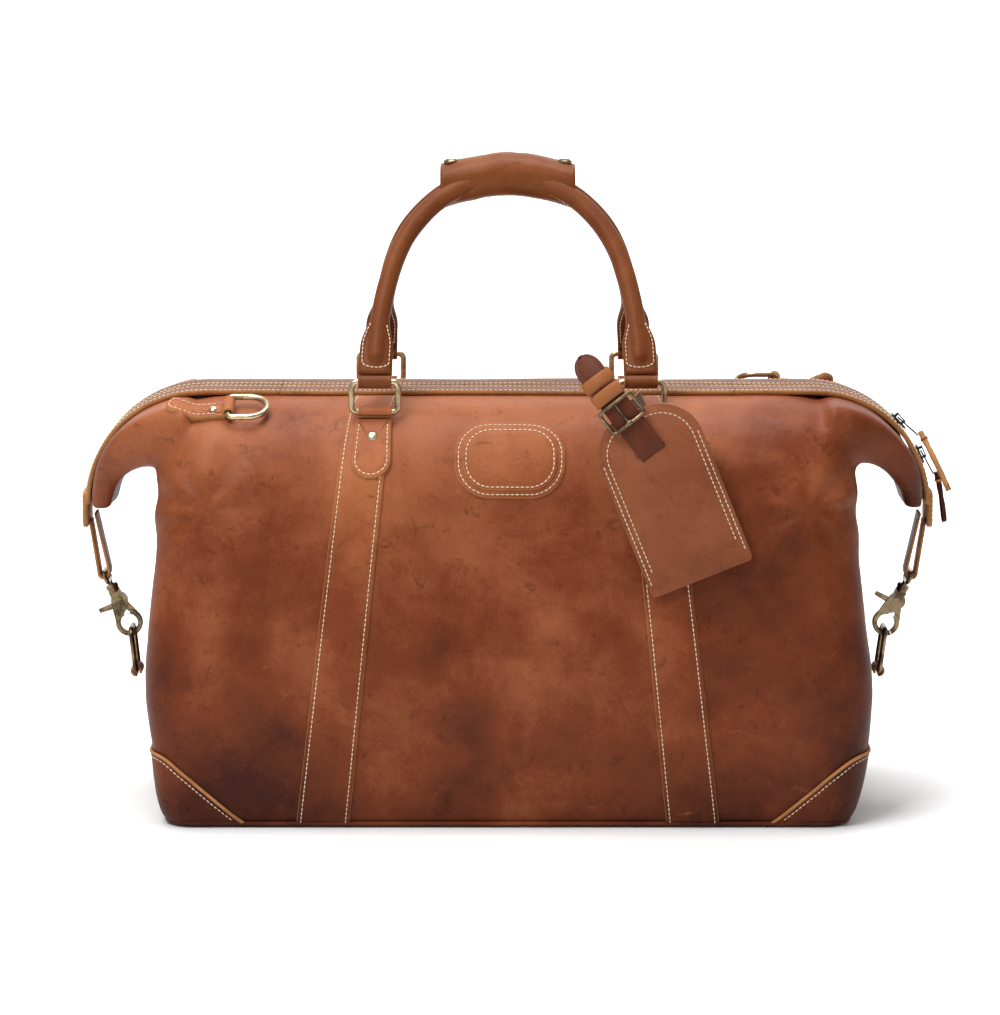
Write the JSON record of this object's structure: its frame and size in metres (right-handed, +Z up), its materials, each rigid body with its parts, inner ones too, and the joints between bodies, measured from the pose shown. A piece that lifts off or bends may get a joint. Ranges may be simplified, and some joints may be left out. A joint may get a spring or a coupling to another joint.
{
  "type": "duffel bag",
  "caption": "Leather weekender duffel bag with rolled handles, a snapped grip, a zip that runs down folded wing ends, trigger hooks and a hanging luggage tag.",
  "frame": {"origin": "middle of the underside of the base, on the surface the bag stands on", "axes": "+X along the bag's length to the viewer's right, +Y from the front panel towards the back, +Z up"},
  "size_m": [0.6352, 0.2614, 0.4749],
  "materials": {
    "panel_leather": "waxed, mottled",
    "trim_leather": "waxed, mottled",
    "handle_leather": "waxed, worn",
    "raw_leather": "raw cut edge",
    "lining_cloth": "woven cotton",
    "board": "pressed fibre board",
    "rope": "twisted cotton",
    "zip_tape": "woven tape",
    "zip_metal": "antique",
    "black_metal": "satin",
    "antique_brass": "antique, polished on the high spots"
  },
  "bodies": {
    "bag": {"base_panel": "panel_leather", "front_panel": "panel_leather", "back_panel": "panel_leather", "left_end_panel": "panel_leather", "right_end_panel": "panel_leather", "lining": "lining_cloth", "base_board": "board", "base_piping": "raw_leather", "front_straps": "trim_leather", "back_straps": "trim_leather", "front_corner_patches": "trim_leather", "back_corner_patches": "trim_leather", "patch_back": "trim_leather", "patch_front": "trim_leather", "zip_ends_strip": "trim_leather", "zip_ends_tape": "zip_tape", "zip_ends_chain": "zip_metal", "front_rings": "antique_brass", "back_rings": "antique_brass", "front_ring_tabs": "trim_leather", "back_ring_tabs": "trim_leather", "dring_tabs": "trim_leather", "rivets": "antique_brass", "wing_end_tabs": "trim_leather", "hook_straps": "trim_leather", "hook_eyes": "antique_brass", "side_rings": "antique_brass", "side_ring_tabs": "trim_leather"},
    "front_handle": {"front_handle": "handle_leather", "front_handle_rope": "rope", "grip_front": "handle_leather", "snap_caps": "antique_brass"},
    "back_handle": {"back_handle": "handle_leather", "back_handle_rope": "rope", "grip_back": "handle_leather"},
    "mouth_front": {"mouth_front_strip": "trim_leather", "mouth_front_tape": "zip_tape", "mouth_front_chain": "zip_metal"},
    "mouth_back": {"mouth_back_strip": "trim_leather", "mouth_back_tape": "zip_tape", "mouth_back_chain": "zip_metal"},
    "upper_slider": {"upper_slider": "black_metal"},
    "upper_pull": {"upper_puller": "black_metal", "upper_pull": "raw_leather"},
    "lower_slider": {"lower_slider": "black_metal"},
    "lower_pull": {"lower_puller": "black_metal", "lower_pull": "raw_leather"},
    "front_dring": {"front_dring": "antique_brass"},
    "back_dring": {"back_dring": "antique_brass"},
    "left_hook": {"left_hook": "antique_brass"},
    "left_hook_gate": {"left_hook_gate": "antique_brass"},
    "right_hook": {"right_hook": "antique_brass"},
    "right_hook_gate": {"right_hook_gate": "antique_brass"},
    "luggage_tag": {"tag_front": "handle_leather", "tag_card": "board", "tag_back": "handle_leather", "tag_strap": "handle_leather", "tag_buckle": "antique_brass", "tag_keepers": "raw_leather"}
  },
  "joints": [
    {"name": "front_handle_swing", "type": "hinge", "parent": "bag", "child": "front_handle", "pos_m": [0, -0.084, 0.3199], "axis": [1, 0, 0], "range_deg": [0, 55]},
    {"name": "back_handle_swing", "type": "hinge", "parent": "bag", "child": "back_handle", "pos_m": [0, 0.084, 0.3199], "axis": [1, 0, 0], "range_deg": [-55, 0]},
    {"name": "mouth_front_fold", "type": "hinge", "parent": "bag", "child": "mouth_front", "pos_m": [0, -0.034, 0.3074], "axis": [1, 0, 0], "range_deg": [0, 160]},
    {"name": "mouth_back_fold", "type": "hinge", "parent": "bag", "child": "mouth_back", "pos_m": [0, 0.034, 0.3074], "axis": [1, 0, 0], "range_deg": [-160, 0]},
    {"name": "upper_slider_travel", "type": "hinge", "parent": "bag", "child": "upper_slider", "pos_m": [0.222, 0, 0.22], "axis": [0, 1, 0], "range_deg": [-36, 0]},
    {"name": "upper_pull_swing", "type": "hinge", "parent": "upper_slider", "child": "upper_pull", "pos_m": [0.28751, 0, 0.28259], "axis": [0, -1, 0], "range_deg": [0, 60]},
    {"name": "lower_slider_travel", "type": "hinge", "parent": "bag", "child": "lower_slider", "pos_m": [0.222, 0, 0.22], "axis": [0, 1, 0], "range_deg": [0, 6]},
    {"name": "lower_pull_swing", "type": "hinge", "parent": "lower_slider", "child": "lower_pull", "pos_m": [0.30432, 0, 0.25786], "axis": [0, -1, 0], "range_deg": [0, 60]},
    {"name": "front_dring_pivot", "type": "hinge", "parent": "bag", "child": "front_dring", "pos_m": [-0.2, -0.07732, 0.301], "axis": [0, -0.9097, -0.4153], "range_deg": [0, 150]},
    {"name": "back_dring_pivot", "type": "hinge", "parent": "bag", "child": "back_dring", "pos_m": [0.2, 0.07732, 0.301], "axis": [0, 0.9097, -0.4153], "range_deg": [0, 150]},
    {"name": "left_hook_swivel", "type": "hinge", "parent": "bag", "child": "left_hook", "pos_m": [-0.27988, 0, 0.12997], "axis": [-0.4195, 0, 0.9078], "range_deg": [-18, 18]},
    {"name": "left_hook_gate_open", "type": "hinge", "parent": "left_hook", "child": "left_hook_gate", "pos_m": [-0.28698, 0, 0.14652], "axis": [0, -1, 0], "range_deg": [0, 22], "stiffness_Nm_per_rad": 0.02, "springref_deg": -17.19},
    {"name": "right_hook_swivel", "type": "hinge", "parent": "bag", "child": "right_hook", "pos_m": [0.27988, 0, 0.12997], "axis": [0.4195, 0, 0.9078], "range_deg": [-18, 18]},
    {"name": "right_hook_gate_open", "type": "hinge", "parent": "right_hook", "child": "right_hook_gate", "pos_m": [0.28789, 0, 0.1461], "axis": [0, -1, 0], "range_deg": [0, 22], "stiffness_Nm_per_rad": 0.02, "springref_deg": -17.19},
    {"name": "tag_swing", "type": "hinge", "parent": "bag", "child": "luggage_tag", "pos_m": [0.084, -0.11, 0.316], "axis": [0, 1, 0], "range_deg": [-8, 8]}
  ],
  "couplings": [
    {"joint": "back_handle_swing", "follows": "front_handle_swing", "ratio": -1},
    {"joint": "mouth_back_fold", "follows": "mouth_front_fold", "ratio": -1}
  ]
}
